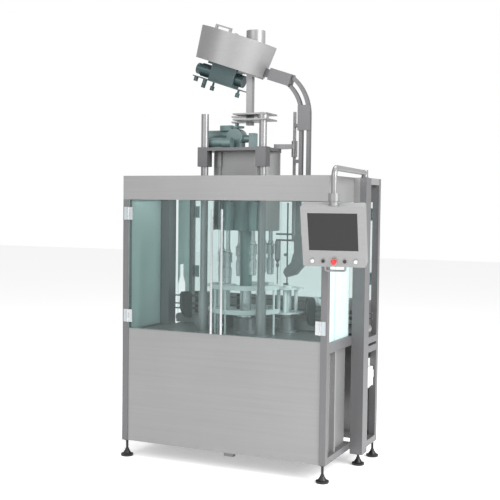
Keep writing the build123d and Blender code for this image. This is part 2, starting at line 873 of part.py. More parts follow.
def chain_loop(inset):
    """The outline of the chain's loop, set in by a distance."""
    radius = chain_loop_radius + chain_thickness - inset
    length = roller_x - idler_x
    middle = (roller_x + idler_x) / 2
    slot = SlotCenterToCenter(length, 2 * radius)
    return Plane(origin=(middle, conveyor_y, roller_z), x_dir=(1, 0, 0), z_dir=(0, -1, 0)) * slot


def conveyor_chain():
    """The flat-top chain as one closed band."""
    outer = extrude(chain_loop(0), amount=chain_width / 2, both=True)
    inner = extrude(chain_loop(chain_thickness), amount=chain_width / 2 + 1, both=True)
    return [outer - inner]


def conveyor_frame():
    """Side plates, legs, wear strip and the fixed end roller."""
    pieces = []
    for side in (-1, 1):
        near = conveyor_y + side * (chain_width / 2 + side_plate_gap)
        far = near + side * side_plate
        y0, y1 = min(near, far), max(near, far)
        plate = block(conveyor_left + 12, conveyor_right - 12, y0, y1,
                      conveyor_bottom - 2, chain_top - 8)
        plate -= rod_along_y(roller_x, y0 - 1, y1 + 1, roller_z, roller_shaft + 2 * slide_gap)
        pieces.append(plate)
    inner_radius = chain_loop_radius
    bed_top = chain_top - chain_thickness
    for x in (idler_x + 160, turret_x, roller_x - 160):
        cross = block(x - 20, x + 20, conveyor_y - chain_width / 2 - side_plate_gap,
                      conveyor_y + chain_width / 2 + side_plate_gap,
                      roller_z - 10, roller_z + 10)
        pieces.append(cross)
    bed = block(idler_x + 40, roller_x - 40, conveyor_y - 30, conveyor_y + 30,
                roller_z + 10, bed_top)
    pieces.append(bed)
    idler = rod_along_y(idler_x, conveyor_y - chain_width / 2 - side_plate_gap,
                        conveyor_y + chain_width / 2 + side_plate_gap, roller_z,
                        2 * inner_radius - 2 * end_gap)
    pieces.append(idler)
    side_face = chain_width / 2 + side_plate_gap + side_plate
    for x in leg_places:
        for side in (-1, 1):
            near = conveyor_y + side * side_face
            far = near + side * conveyor_leg
            y0, y1 = min(near, far), max(near, far)
            pieces.append(block(x - 20, x + 20, y0, y1, deck_top, chain_top - 12))
    return pieces


def conveyor_roller():
    """The driven roller at the right-hand end."""
    half = chain_width / 2
    roller = rod_along_y(roller_x, conveyor_y - half, conveyor_y + half, roller_z,
                         roller_diameter)
    reach = half + side_plate_gap + side_plate + 9
    return [roller + rod_along_y(roller_x, conveyor_y - reach, conveyor_y + reach, roller_z,
                                 roller_shaft)]


def rail_offset():
    return bottle_diameter / 2 + pocket_clearance + rail_rod / 2


def guide_rails():
    """The round rods that keep the bottles on the chain."""
    rods = []
    front = conveyor_y - rail_offset()
    back = conveyor_y + rail_offset()
    for z in rail_heights:
        end = rear_right_x - 8 if z < screw_z - screw_diameter / 2 else screw_left - 10
        rods.append(rod_along_x(rear_left_x - 20, end, back, z, rail_rod))
        rods.append(rod_along_x(rear_left_x - 20, outfeed_x - star_radius - 60, front, z,
                                rail_rod))
    for z in rail_heights[:2]:
        rods.append(rod_along_x(infeed_x + star_radius + 55, rear_right_x - 8, front, z,
                                rail_rod))
    return rods


def sickle(x, y0, y1):
    """A black crescent bracket that carries the rods, seen from the side."""
    low = deck_top + 55
    high = rail_heights[2] + 49
    outline = [
        Line((y0 + 22, high), (y1 - 30, high - 6)),
        Line((y1 - 30, high - 6), (y1, high - 40)),
        Line((y1, high - 40), (y1, low)),
        Line((y1, low), (y1 - 62, low)),
        ThreePointArc((y1 - 62, low), (y0 + 6, (low + high) / 2 - 10), (y0 + 22, high)),
    ]
    face = Plane.YZ * make_face(outline)
    return Pos(x - bracket_thickness / 2, 0, 0) * extrude(face, amount=bracket_thickness)


def rail_brackets():
    """The crescents in front of the conveyor and the clamps behind it."""
    pieces = []
    front_rods = conveyor_y - rail_offset() - rail_rod / 2
    back_rods = conveyor_y + rail_offset() + rail_rod / 2
    for x in bracket_places:
        pieces.append(sickle(x, front_rods - 180, front_rods))
    for x in back_clamp_places:
        top = rail_heights[2] + 30 if x < screw_left else rail_heights[1] + 12
        pieces.append(block(x - 14, x + 14, back_rods, back_rods + 28, deck_top, top))
    return pieces


def infeed_screw():
    """The timing screw, whose helical groove fits the bottles on the chain, on its shaft."""
    right = screw_left + screw_length
    lead = pocket_pitch / 2
    run = screw_length + lead
    centre_radius = screw_y - conveyor_y
    path = Pos(0, 0, -run / 2) * Helix(pitch=lead, height=run, radius=centre_radius)
    section = Plane(origin=path @ 0, z_dir=path % 0) * Circle(pocket_radius)
    groove = sweep(section, path=path)
    body = Cylinder(screw_diameter / 2, screw_length) - groove
    middle = (screw_left + right) / 2
    body = Pos(middle, screw_y, screw_z) * Rot(0, 90, 0) * body
    shaft = rod_along_x(right - 20, right + 60, screw_y, screw_z, screw_shaft)
    return [body + shaft]


def screw_bearing():
    """The post and block in which the timing screw turns, with its small motor."""
    x0 = screw_left + screw_length + end_gap
    housing = block(x0, x0 + 50, screw_y - 40, screw_y + 40, screw_z - 45, screw_z + 45)
    housing -= rod_along_x(x0 - 1, x0 + 62, screw_y, screw_z, screw_shaft + 2 * slide_gap)
    leg = block(x0 + 5, x0 + 45, screw_y - 10, screw_y + 25, deck_top, screw_z - 45)
    motor = rod_along_x(x0 + 62, x0 + 150, screw_y, screw_z, 70)
    flange = block(x0 + 50, x0 + 62, screw_y - 40, screw_y + 40, screw_z - 40, screw_z + 40)
    flange -= rod_along_x(x0 + 49, x0 + 62.5, screw_y, screw_z, screw_shaft + 4)
    return [housing + leg, flange, motor]


# Head plate, housing and drives, which rise together

def head_plate():
    """The plate with its two sleeves on the columns and the boss of the rotor."""
    z0, z1 = head_plate_bottom, head_plate_top
    half = column_spacing / 2 + sleeve_width / 2
    plate = pillar(turret_x, turret_y, z0, z1, 2 * (housing_radius + plate_margin))
    plate += block(turret_x - half, turret_x + half, column_y - sleeve_width / 2, turret_y,
                   z0, z1)
    plate += pillar(turret_x, turret_y, z0 - hub_boss_height, z0, rotor_hub + 60)
    for x in column_xs:
        plate += block(x - sleeve_width / 2, x + sleeve_width / 2,
                       column_y - sleeve_width / 2, column_y + sleeve_width / 2,
                       sleeve_bottom, z1 + 4)
        plate -= pillar(x, column_y, sleeve_bottom - 1, z1 + 5, lift_column + 2 * slide_gap)
    plate -= pillar(turret_x, turret_y, z0 - hub_boss_height - 1, z0,
                    rotor_hub + 2 * slide_gap)
    return [plate]


def housing():
    """The round housing behind the heads, of curved panels, open in front below its cover."""
    front = turret_y - housing_front
    inner = housing_radius - housing_wall
    start = -math.degrees(math.asin(housing_front / housing_radius))
    step = (180 - 2 * start) / housing_panels
    pieces = []
    for number in range(housing_panels):
        angle = start + number * step
        pieces.append(arc_plate(turret_x, turret_y, inner, housing_radius, angle, angle + step,
                                housing_bottom, head_plate_bottom))
    half = math.sqrt(inner**2 - housing_front**2)
    pieces.append(block(turret_x - half, turret_x + half, front, front + housing_wall,
                        housing_front_bottom, head_plate_bottom))
    for side in (-1, 1):
        x = turret_x + side * strip_spacing / 2
        pieces.append(block(x - strip_block_width / 2, x + strip_block_width / 2,
                            front - 20, front, sleeve_bottom, head_plate_bottom))
        pieces.append(block(x - strip_width / 2, x + strip_width / 2, front - 14, front,
                            housing_front_bottom, sleeve_bottom))
    return pieces


def lift_drive():
    """The gearmotors, the gearbox and the jack on top of the head plate."""
    z = head_plate_top
    gx, gy = turret_x - 64, turret_y - 60
    gearbox = rod_along_y(gx, gy - 50, gy + 50, z + 94, 134)
    gearbox += block(gx - 50, gx + 50, gy - 50, gy + 50, z, z + 60)
    motor = rod_along_x(gx - 245, gx - 60, gy, z + 112, 78)
    motor += block(gx - 130, gx - 30, gy - 40, gy + 40, z + 145, z + 186)
    output = rod_along_x(gx + 60, gx + 115, gy, z + 80, 60)
    low = rod_along_x(gx - 220, gx - 60, gy - 120, z + 47, 76)
    low_end = rod_along_x(gx - 60, gx + 15, gy - 120, z + 42, 82)
    stand = block(gx - 200, gx, gy - 140, gy - 100, z, z + 12)
    valve = block(gx + 116, gx + 166, gy - 30, gy + 30, z, z + 122)
    jack = pillar(gx, gy, z + 155, yoke_top - yoke_height, 30)
    jack += pillar(gx, gy, z + 165, z + 179, 116)
    return [gearbox + motor + output, low + low_end + stand, valve, jack]


def chute_stay():
    """The slender post at the right of the housing and its tapered arm."""
    arm_z = head_plate_bottom
    y = turret_y
    stay = pillar(stay_x, y, stay_bottom, stay_top, stay_diameter)
    outline = Polyline(
        (turret_x + housing_radius - 10, y - 60), (stay_x, y - 22), (stay_x, y + 22),
        (turret_x + housing_radius - 10, y + 60), (turret_x + housing_radius - 10, y - 60))
    arm = Pos(0, 0, head_plate_top) * extrude(make_face(outline), amount=34)
    arm += pillar(stay_x, y, arm_z - 40, head_plate_top + 60, 46)
    return [stay + arm]


# Cap sorter

def sorter_support():
    """The square post under the sorter with its top plate and the two plates of its yoke."""
    front_x = column_xs[1]
    half = support_width / 2
    column = block(support_x - half, support_x + half, support_y - half, support_y + half,
                   support_bottom, sorter_centre_z)
    seat = Pos(190, 0, -sorter_height / 2 - yoke_plate / 2) * Box(160, 140, yoke_plate)
    above = Box(2 * sorter_diameter, sorter_diameter, sorter_height)
    column = column - sorter_plane.location * above + sorter_plane.location * seat
    low, high = yoke_top - yoke_height, yoke_top
    for z0 in (low, high - yoke_plate):
        z1 = z0 + yoke_plate
        column += block(turret_x - 100, support_x + 60, support_y + 20, turret_y - 30, z0, z1)
        column += block(support_x - 60, front_x + 45, column_y - 45, support_y + 20, z0, z1)
    column += pillar(front_x, column_y, low, high, sleeve_width)
    column -= pillar(front_x, column_y, low - 1, high + 1, lift_column + 2 * slide_gap)
    return [column]


def bowl_radius(z):
    """The bowl's outer radius at a height from its middle."""
    share = z / sorter_height + 0.5
    return (sorter_base_diameter + (sorter_diameter - sorter_base_diameter) * share) / 2


def bowl_body(inset, low, high):
    """The tapered body of the bowl between two heights, set in by a distance."""
    cone = Cone(bowl_radius(low) - inset, bowl_radius(high) - inset, high - low)
    return Pos(0, 0, (low + high) / 2) * cone


def lid_knuckle_block(x0, x1, y):
    """The leaf of one knuckle, from the plate of the top up to the pin's height."""
    top = sorter_height / 2 + lid
    leaf = Box(x1 - x0, lid_knuckle_length, lid_knuckle / 2)
    return Pos(lid_hinge_x - 0.5 + (x0 + x1) / 2, y, top + lid_knuckle / 4) * leaf


def lid_barrel(y, diameter, length):
    """A barrel or a pin on the axis of the lid."""
    z = sorter_height / 2 + lid + lid_knuckle / 2
    return Pos(lid_hinge_x - 0.5, y, z) * Rot(90, 0, 0) * Cylinder(diameter / 2, length)


def sorter_bowl():
    """The tilted bowl with its floor, the fixed part of its top and the chimney."""
    radius = sorter_diameter / 2
    half = sorter_height / 2
    shell = bowl_body(0, -half, half) - bowl_body(sorter_wall, -half + sorter_floor, half)
    shell -= Pos(0, 0, -half + sorter_floor / 2) * Cylinder(
        sorter_shaft / 2 + slide_gap, sorter_floor + 2)
    cover = Pos(0, 0, half + lid / 2) * Cylinder(radius, lid)
    cover -= Pos(lid_hinge_x - radius, 0, half + lid / 2) * Box(
        2 * radius, 2 * radius + 2, lid + 2)
    for side in (-1, 1):
        y = side * (lid_knuckle_place + lid_knuckle_length + end_gap)
        cover += lid_knuckle_block(0.5, 20, y) + lid_barrel(y, lid_knuckle, lid_knuckle_length)
        pin_y = side * (lid_knuckle_place + lid_knuckle_length / 2)
        cover += lid_barrel(pin_y, hinge_pin, 2 * lid_knuckle_length)
    bowl = sorter_plane.location * (shell + cover)
    seat = sorter_plane.location * Pos(chimney_x, 0, half + lid)
    foot = seat.position
    low = foot.Z - chimney_diameter / 2
    bore = pillar(foot.X, foot.Y, low, chimney_top + 1, chimney_diameter - 2 * chimney_wall)
    chimney = pillar(foot.X, foot.Y, low, chimney_top, chimney_diameter)
    above = Pos(0, 0, half + lid + sorter_height) * Box(
        2 * sorter_diameter, sorter_diameter, 2 * sorter_height)
    chimney = (chimney & sorter_plane.location * above) - bore
    return [bowl - bore, chimney]


def sorter_lid():
    """The hinged part of the top with its knuckles and its bridge handle."""
    radius = sorter_diameter / 2
    half = sorter_height / 2
    plate = Pos(0, 0, half + lid / 2) * Cylinder(radius, lid)
    plate -= Pos(lid_hinge_x - 1 + radius, 0, half + lid / 2) * Box(
        2 * radius, 2 * radius + 2, lid + 2)
    for y in (-lid_knuckle_place, lid_knuckle_place):
        plate += lid_knuckle_block(-20, -1, y) + lid_barrel(y, lid_knuckle, lid_knuckle_length)
        plate -= lid_barrel(y, hinge_pin + 2 * running_gap, lid_knuckle_length + 2)
    top = half + lid
    handle = Pos(-157, 0, top + 38) * Box(120, 18, 12)
    for x in (-220, -94):
        handle += Pos(x, 0, top + 16) * Box(20, 18, 32)
        handle += Pos(x, 0, top + 35) * Box(20, 18, 18)
    return [sorter_plane.location * plate, sorter_plane.location * handle]


def sorter_disc_part():
    """The turning disc inside the bowl and its shaft through the floor."""
    floor = -sorter_height / 2 + sorter_floor
    disc = Pos(0, 0, floor + 14) * Cylinder(sorter_disc / 2, disc_thickness)
    disc += Pos(0, 0, floor + 34) * Cone(90, 20, 28)
    disc += Pos(0, 0, floor + 4 + end_gap / 2) * Cylinder(45, 8 - end_gap)
    disc += Pos(0, 0, floor + 4 - sorter_floor / 2) * Cylinder(sorter_shaft / 2, sorter_floor)
    return [sorter_plane.location * disc]


def sorter_drive():
    """The gearmotor under the bowl on its plates, and the knobs that clamp it."""
    half = sorter_height / 2
    place = sorter_plane.location
    low = drive_plate_bottom
    plate = Pos(-30, 0, -half - 8) * Box(260, 160, 16)
    gearbox = Pos(-20, 0, (low - half) / 2) * Box(220, 120, -low - half)
    gearbox += Pos(60, 0, (low - half) / 2) * Rot(0, 90, 0) * Cylinder(48, 180)
    tray = Pos(-35, -20, low + 4) * Box(430, 150, 8)
    axis = -half - 78
    motor = Pos(-180, 0, axis) * Rot(0, 90, 0) * Cylinder(sorter_motor / 2, 100)
    dome = Pos(-250, 0, axis) * Rot(0, 90, 0) * Cylinder(sorter_motor / 2 - 8, 40)
    pieces = [place * (plate + gearbox + tray), place * (motor - tray), place * (dome - tray)]
    for x, y, drop in drive_knobs:
        knob = Pos(x, y, low - drop - knob_size / 2) * Cylinder(knob_size / 2, knob_size)
        if drop > 0:
            knob += Pos(x, y, low - drop / 2) * Cylinder(knob_size / 4, drop)
        pieces.append(place * knob)
    return pieces


# Cap chute

def curved_rail(radius):
    """One curved rail of the chute, an arc in an upright plane."""
    centre_x = chute_x + chute_spacing / 2 + chute_rail / 2 - chute_bend
    inner = radius - chute_rail / 2
    outer = radius + chute_rail / 2
    profile = arc_plate(centre_x, 0, inner, outer, 0, chute_angle, -chute_depth / 2,
                        chute_depth / 2)
    return Pos(0, chute_y, chute_straight_top) * Rot(90, 0, 0) * profile


def cap_chute():
    """The outlet of the sorter, the curved rails, the joint plate and the straight rails."""
    side_y = chute_y - sorter_y
    outlet = Pos((outlet_start + outlet_end) / 2, side_y, (outlet_low + outlet_high) / 2) * Box(
        outlet_end - outlet_start, outlet_width, outlet_high - outlet_low)
    neck_start = bowl_radius(outlet_low) - outlet_width / 2
    neck = Pos((neck_start + outlet_start) / 2, side_y, (outlet_low + outlet_high) / 2) * Box(
        outlet_start - neck_start, outlet_width - 2 * neck_inset,
        outlet_high - outlet_low - 2 * neck_inset)
    neck -= bowl_body(0, -sorter_height / 2, sorter_height / 2)
    outlet = sorter_plane.location * (outlet + neck)
    pieces = [outlet]
    half = chute_depth / 2
    for side in (-1, 1):
        radius = chute_bend - chute_rail / 2
        if side < 0:
            radius -= chute_spacing
        x = chute_x + side * chute_spacing / 2
        rail = curved_rail(radius) + block(x - chute_rail / 2, x + chute_rail / 2,
                                           chute_y - half, chute_y + half,
                                           chute_joint_z, chute_straight_top)
        pieces.append(max((rail - outlet).solids(), key=lambda solid: solid.volume))
    reach = chute_spacing / 2 + chute_rail / 2
    pieces.append(block(chute_x - reach - 8, chute_x + reach + 4, chute_y - half - 12,
                        chute_y - half, plate_bottom, plate_top))
    for z in (plate_bottom + 30, clamp_z):
        pieces.append(block(stay_x + stay_diameter / 2, chute_x - reach, chute_y,
                            turret_y + 8, z, z + 24))
    pieces.append(block(chute_x - reach, chute_x + reach, chute_y - half, chute_y + half,
                        chute_joint_z - 40, chute_joint_z))
    lower_x = chute_x - reach
    pieces.append(block(lower_x - 20, lower_x + 16, chute_y - half, chute_y + half,
                        wide_chute_top, chute_joint_z - 40))
    return pieces


def cap_dispenser():
    """The wide end of the chute, the slanted release head and the bars behind."""
    lower_x = chute_x - chute_spacing / 2 - chute_rail / 2
    half = chute_depth / 2
    top = wide_chute_bottom
    wide = block(lower_x - 28, lower_x + 40, chute_y - half, chute_y + half, top,
                 wide_chute_top)
    outline = Polyline(
        (lower_x - 28, top), (lower_x + 44, top), (lower_x + 46, top - 96),
        (lower_x - 16, top - 164), (lower_x - 84, top - 184), (lower_x - 108, top - 148),
        (lower_x - 98, top - 118), (lower_x - 44, top - 66), (lower_x - 28, top))
    head = extrude(Plane.XZ * make_face(outline), amount=35, both=True)
    wide += Pos(0, chute_y, 0) * head
    bar_end = stay_x - stay_diameter / 2
    bars = pillar(air_rod_x, turret_y, air_rod_bottom, air_rod_top, rail_rod)
    bars += block(air_rod_x - 26, air_rod_x + 8, turret_y - 10, turret_y + 10,
                  air_rod_bottom - 12, air_rod_bottom + 4)
    for z in (feeler_top, feeler_top + bar_spacing):
        bars += block(bar_end - bar_length, bar_end, turret_y - 8, turret_y + 8, z,
                      z + bar_thickness)
    link = block(lower_x - 70, lower_x - 40, chute_y + 35, turret_y - stay_diameter / 2,
                 top - 110, top - 80)
    return [wide, bars, link]


def height_feeler():
    """The slim air cylinder at the right of the heads, with its coupling and rod."""
    x = feeler_x
    y = turret_y
    low = feeler_bottom
    body = pillar(x, y, low, feeler_top, feeler_diameter)
    body += Pos(x, y, low - 14) * Cone(7, feeler_diameter / 2, 28)
    body += pillar(x, y, low - feeler_rod_length, low - 28, 10)
    body += pillar(x, y, low - 62, low - 34, 26)
    return [body]


# Capping rotor and heads

def head_place(number):
    angle = first_head_angle + number * 360 / turret_pockets
    return polar(turret_x, turret_y, turret_radius, angle)


def hexagon(apothem, z0, z1):
    shape = RegularPolygon(apothem, turret_pockets, major_radius=False,
                           rotation=first_head_angle + 180 / turret_pockets)
    return Pos(turret_x, turret_y, z0) * extrude(shape, amount=z1 - z0)


def capping_rotor():
    """The six-sided drum with a head cylinder on each side, its sleeve and its hub."""
    z0 = housing_bottom
    drum = hexagon(rotor_apothem, z0, rotor_top)
    drum -= hexagon(rotor_apothem - rotor_wall, z0 + rotor_wall, rotor_top - rotor_wall)
    for number in range(turret_pockets):
        angle = first_head_angle + number * 360 / turret_pockets
        bx, by = polar(turret_x, turret_y, (rotor_apothem + turret_radius) / 2, angle)
        arm_length = turret_radius - rotor_apothem
        arm = Box(arm_length, 54, head_cylinder_top - z0 - 60)
        drum += Pos(bx, by, (head_cylinder_top + z0) / 2) * Rot(0, 0, angle) * arm
        x, y = head_place(number)
        drum += pillar(x, y, z0, head_cylinder_top, head_cylinder)
        drum += pillar(x, y, head_cylinder_top, head_cylinder_top + 22, 24)
    sleeve_bottom_z = star_high + star_plate + end_gap
    drum += pillar(turret_x, turret_y, sleeve_bottom_z, z0, rotor_sleeve)
    drum += pillar(turret_x, turret_y, z0 - sleeve_flange_height, z0, sleeve_flange)
    drum += pillar(turret_x, turret_y, rotor_top, head_plate_bottom - end_gap, rotor_hub)
    drum -= pillar(turret_x, turret_y, sleeve_bottom_z - 1, rotor_top - rotor_wall,
                   turret_shaft + 2 * slide_gap)
    for number in range(turret_pockets):
        x, y = head_place(number)
        drum -= pillar(x, y, z0 - 1, z0 + spindle_grip + max(cam_rises),
                       spindle + 2 * slide_gap)
    return [drum]


def capping_head(number):
    """One turning head at its height on the cam: spindle, ringed clutch, spring and chuck."""
    x, y = head_place(number)
    low = head_bottom
    top = housing_bottom + spindle_grip - end_gap
    s = spindle / 2
    c = clutch_diameter / 2
    k = chuck_diameter / 2
    points = [(0, low), (k - 4, low), (k, low + 6), (k, low + 46), (k + 3, low + 50),
              (k + 3, low + 120), (k - 4, low + 126), (k - 4, low + 160), (c, low + 168)]
    ring_step = (clutch_top - 8 - low - 168) / clutch_rings
    for ring_number in range(1, clutch_rings):
        z = low + 168 + ring_number * ring_step
        points += [(c, z - 4), (c - clutch_groove, z - 2), (c - clutch_groove, z + 2), (c, z + 4)]
    points += [(c, clutch_top - 8), (c - 8, clutch_top), (s + 6, clutch_top),
               (s + 6, clutch_top + 20), (s, clutch_top + 24), (s, top), (0, top), (0, low)]
    head = revolve(Plane.XZ * make_face(Polyline(*points)), Axis.Z)
    return [Pos(x, y, cam_rises[number]) * head]


# Operator panel and its arm

def arm_direction():
    dx, dy = arm_end_x - arm_post_x, arm_end_y - arm_post_y
    length = math.hypot(dx, dy)
    return dx / length, dy / length


def hmi_arm():
    """The tube that carries the panel, its journal at the post and its lower coupling."""
    ux, uy = arm_direction()
    radius = arm_tube / 2
    start = (arm_post_x, arm_post_y, arm_height)
    end = (arm_end_x, arm_end_y, arm_height)
    foot = (arm_end_x, arm_end_y, coupling_top)
    path = FilletPolyline(start, end, foot, radius=arm_bend)
    section = Plane(origin=start, x_dir=(-uy, ux, 0), z_dir=(ux, uy, 0)) * Circle(radius)
    tube = sweep(section, path=path)
    tube += pillar(arm_post_x, arm_post_y, arm_height - radius, arm_height + radius + 2, 50)
    socket_top = arm_height - radius - 10
    tube += pillar(arm_post_x, arm_post_y, socket_top + end_gap, arm_height - radius + 5, 50)
    tube += pillar(arm_post_x, arm_post_y, frame_top + 2 + end_gap, arm_height - radius, 24)
    tube += pillar(arm_end_x, arm_end_y, coupling_bottom, coupling_top, coupling_diameter)
    tube -= pillar(arm_end_x, arm_end_y, coupling_bottom - 1, coupling_bottom + 36,
                   30 + 2 * slide_gap)
    return [tube]


def hmi_panel():
    """The leaning enclosure with its neck, its screen recess, collars and grab handle."""
    half_w, half_h = panel_width / 2, panel_height / 2
    body = Pos(0, 0, -panel_depth / 2) * Box(panel_width, panel_height, panel_depth)
    body = fillet(body.edges().filter_by(Axis.Z), 10)
    body -= Pos(0, screen_up, -screen_recess / 2 + 0.5) * Box(
        screen_width, screen_height, screen_recess + 1)
    for number in (-2, -1, 0, 1, 2):
        bore = button_diameter + 2 * end_gap
        collar = Cylinder(button_collar / 2, collar_height) - Cylinder(bore / 2, 50)
        body += Pos(number * button_pitch, button_row, collar_height / 2) * collar
    grab = FilletPolyline((-70, -half_h + 1, -34), (-70, -half_h - 42, -34),
                          (70, -half_h - 42, -34), (70, -half_h + 1, -34), radius=14)
    profile = Plane(origin=(-70, -half_h + 1, -34), z_dir=(0, -1, 0)) * Circle(8)
    body += sweep(profile, path=grab)
    neck = pillar(arm_end_x, arm_end_y, coupling_bottom - 40, coupling_bottom - end_gap, 60)
    pin = pillar(arm_end_x, arm_end_y, coupling_bottom - 30, coupling_bottom + 34, 30)
    return [panel_plane.location * body + neck + pin]


def hmi_screen():
    """The glass of the screen, which lies in the enclosure's recess."""
    width = screen_width - 2 * end_gap
    height = screen_height - 2 * end_gap
    return [panel_plane.location * Pos(0, screen_up, -screen_recess / 2 - 1) * Box(
        width, height, screen_recess - 2)]


def push_button(number):
    """One push button in its collar."""
    height = collar_height + button_height - button_travel - end_gap
    low = button_travel + end_gap
    return [panel_plane.location * Pos(number * button_pitch, button_row, low + height / 2)
            * Cylinder(button_diameter / 2, height)]


def stop_button():
    """The mushroom head of the stop button and its stem."""
    low = button_travel + end_gap
    top = collar_height + button_travel + 2
    stem = Pos(0, button_row, (low + top) / 2) * Cylinder(button_diameter / 2, top - low)
    profile = Polyline((0, top), (stop_diameter / 2 - 3, top), (stop_diameter / 2, top + 3),
                       (stop_diameter / 2, top + stop_height - 5),
                       (stop_diameter / 2 - 7, top + stop_height), (0, top + stop_height),
                       (0, top))
    head = revolve(Plane.XZ * make_face(profile), Axis.Z)
    return [panel_plane.location * (stem + Pos(0, button_row, 0) * head)]


# Every sub-part, each written to its own file
os.makedirs("parts", exist_ok=True)
hinges = door_hinges()
fixed_halves = [fixed for pairs in hinges.values() for fixed, moving in pairs]
moving_halves = {name: [moving for fixed, moving in pairs] for name, pairs in hinges.items()}

save("base_frame", base_frame())
save("guard_posts", guard_posts())
save("portal_columns", portal_columns())
save("top_fascia", top_fascia())
save("levelling_feet", levelling_feet())
save("front_panel", front_panel())
save("side_panels", side_panels())
save("rear_panels", rear_panels())
save("deck_plate", deck_plate())
save("side_glass", side_glass())
save("hinge_plates", fixed_halves)
save("guide_columns", guide_columns())
save("shaft_bearings", shaft_bearings() + screw_bearing())
save("star_guides", star_guides())
save("base_drive", base_drive())
save("air_unit", air_unit())
save("conveyor_frame", conveyor_frame())
save("conveyor_chain", conveyor_chain())
save("guide_rails", guide_rails())
save("rail_brackets", rail_brackets())

save("front_left_door", front_door(-1))
save("front_left_fittings", moving_halves["front_left"] + [front_handle(-1)])
save("front_right_door", front_door(1))
save("front_right_fittings", moving_halves["front_right"] + [front_handle(1)])
save("rear_left_door", rear_door(-1))
save("rear_left_fittings", moving_halves["rear_left"] + [rear_knob(-1)])
save("rear_right_door", rear_door(1))
save("rear_right_fittings", moving_halves["rear_right"] + [rear_knob(1)])

save("turret_stars", turret_stars())
save("turret_column", turret_column())
save("infeed_star", small_star(infeed_x, infeed_phase()))
save("outfeed_star", small_star(outfeed_x, outfeed_phase()))
save("infeed_screw", infeed_screw())
save("conveyor_roller", conveyor_roller())

save("head_plate", head_plate())
save("housing", housing())
save("lift_drive", lift_drive())
save("chute_stay", chute_stay() + height_feeler())
save("sorter_support", sorter_support())
save("sorter_bowl", sorter_bowl())
save("sorter_drive", sorter_drive())
save("cap_chute", cap_chute())
save("cap_dispenser", cap_dispenser())
save("sorter_lid", sorter_lid())
save("sorter_disc", sorter_disc_part())
save("capping_rotor", capping_rotor())
for number in range(turret_pockets):
    save("capping_head_" + str(number + 1), capping_head(number))

save("hmi_arm", hmi_arm())
save("hmi_panel", hmi_panel())
save("hmi_screen", hmi_screen())
for place, number in enumerate((-2, -1, 1, 2)):
    save("button_" + str(place + 1), push_button(number))
save("stop_button", stop_button())
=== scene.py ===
import math

import bmesh
import bpy
from mathutils import Matrix, Vector

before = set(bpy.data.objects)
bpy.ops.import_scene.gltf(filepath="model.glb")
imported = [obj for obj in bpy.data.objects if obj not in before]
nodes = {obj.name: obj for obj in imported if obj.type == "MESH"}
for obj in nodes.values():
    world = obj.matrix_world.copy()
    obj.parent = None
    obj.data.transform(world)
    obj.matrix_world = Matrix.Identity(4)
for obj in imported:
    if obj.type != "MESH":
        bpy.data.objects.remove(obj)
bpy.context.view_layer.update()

# Camera, in metres and degrees
camera_place = Vector((2.9564, -6.5740, 1.9940))
camera_yaw = 24.619
camera_pitch = 2.616
camera_roll = 0.683
focal_pixels = 935.9
picture_pixels = 500
sensor = 36.0


def set_camera():
    """Stand the camera where the photograph was taken from."""
    yaw, pitch, roll = (math.radians(a) for a in (camera_yaw, camera_pitch, camera_roll))
    view = Vector((-math.sin(yaw) * math.cos(pitch), math.cos(yaw) * math.cos(pitch),
                   -math.sin(pitch)))
    level = Vector((math.cos(yaw), math.sin(yaw), 0))
    up = level.cross(view)
    right = level * math.cos(roll) + up * math.sin(roll)
    up = -level * math.sin(roll) + up * math.cos(roll)
    camera = bpy.data.objects.new("camera", bpy.data.cameras.new("camera"))
    camera.data.lens = focal_pixels / picture_pixels * sensor
    camera.data.sensor_width = sensor
    camera.data.clip_end = 60
    turn = Matrix((right, up, -view)).transposed().to_4x4()
    camera.matrix_world = Matrix.Translation(camera_place) @ turn
    bpy.context.scene.collection.objects.link(camera)
    bpy.context.scene.camera = camera


# Stage and light

def any_ray(tree, names):
    """A value that is 1 for the kinds of ray that are named."""
    path = tree.nodes.new("ShaderNodeLightPath")
    total = path.outputs[names[0]]
    for name in names[1:]:
        joined = tree.nodes.new("ShaderNodeMath")
        joined.operation = "MAXIMUM"
        tree.links.new(total, joined.inputs[0])
        tree.links.new(path.outputs[name], joined.inputs[1])
        total = joined.outputs[0]
    return total


def set_world(strength):
    """A plain world that looks white to the camera and lights the object softly."""
    world = bpy.data.worlds.new("studio")
    world.use_nodes = True
    bpy.context.scene.world = world
    tree = world.node_tree
    tree.nodes.clear()
    dim = tree.nodes.new("ShaderNodeBackground")
    dim.inputs["Color"].default_value = (1, 1, 1, 1)
    dim.inputs["Strength"].default_value = strength
    seen = tree.nodes.new("ShaderNodeBackground")
    seen.inputs["Color"].default_value = (1, 1, 1, 1)
    seen.inputs["Strength"].default_value = 1.0
    mix = tree.nodes.new("ShaderNodeMixShader")
    tree.links.new(any_ray(tree, ["Is Camera Ray", "Is Transmission Ray"]), mix.inputs[0])
    tree.links.new(dim.outputs[0], mix.inputs[1])
    tree.links.new(seen.outputs[0], mix.inputs[2])
    out = tree.nodes.new("ShaderNodeOutputWorld")
    tree.links.new(mix.outputs[0], out.inputs[0])


def lamp(name, place, aim, size, power):
    """A square soft lamp."""
    data = bpy.data.lights.new(name, "AREA")
    data.size = size
    data.energy = power
    obj = bpy.data.objects.new(name, data)
    obj.location = place
    obj.rotation_euler = (Vector(aim) - Vector(place)).to_track_quat("-Z", "Y").to_euler()
    bpy.context.scene.collection.objects.link(obj)


